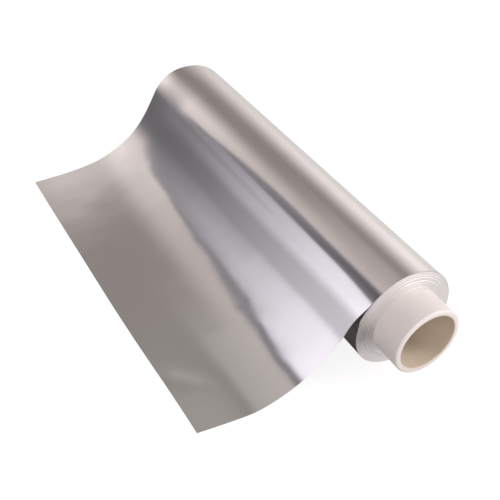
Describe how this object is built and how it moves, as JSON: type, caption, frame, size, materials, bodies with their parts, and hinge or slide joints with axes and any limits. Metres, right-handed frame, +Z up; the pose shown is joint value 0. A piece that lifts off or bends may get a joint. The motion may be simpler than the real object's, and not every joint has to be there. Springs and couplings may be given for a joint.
{
  "type": "aluminium foil roll",
  "caption": "Roll of kitchen foil wound on a tube core, with its first length drawn out and lying over the table.",
  "frame": {"origin": "middle of the flat spot on the winding's underside, on the table, half-way along the foil's width", "axes": "+X along the roll towards the end where the core stands out further, +Y away from the drawn sheet, +Z up from the table"},
  "size_m": [0.3365, 0.1793, 0.0708],
  "materials": {
    "core_tube": "smooth white-faced card, brown inside",
    "foil": "satin rolled foil"
  },
  "bodies": {
    "root": {"core": "core_tube", "foil": "foil"}
  },
  "joints": []
}
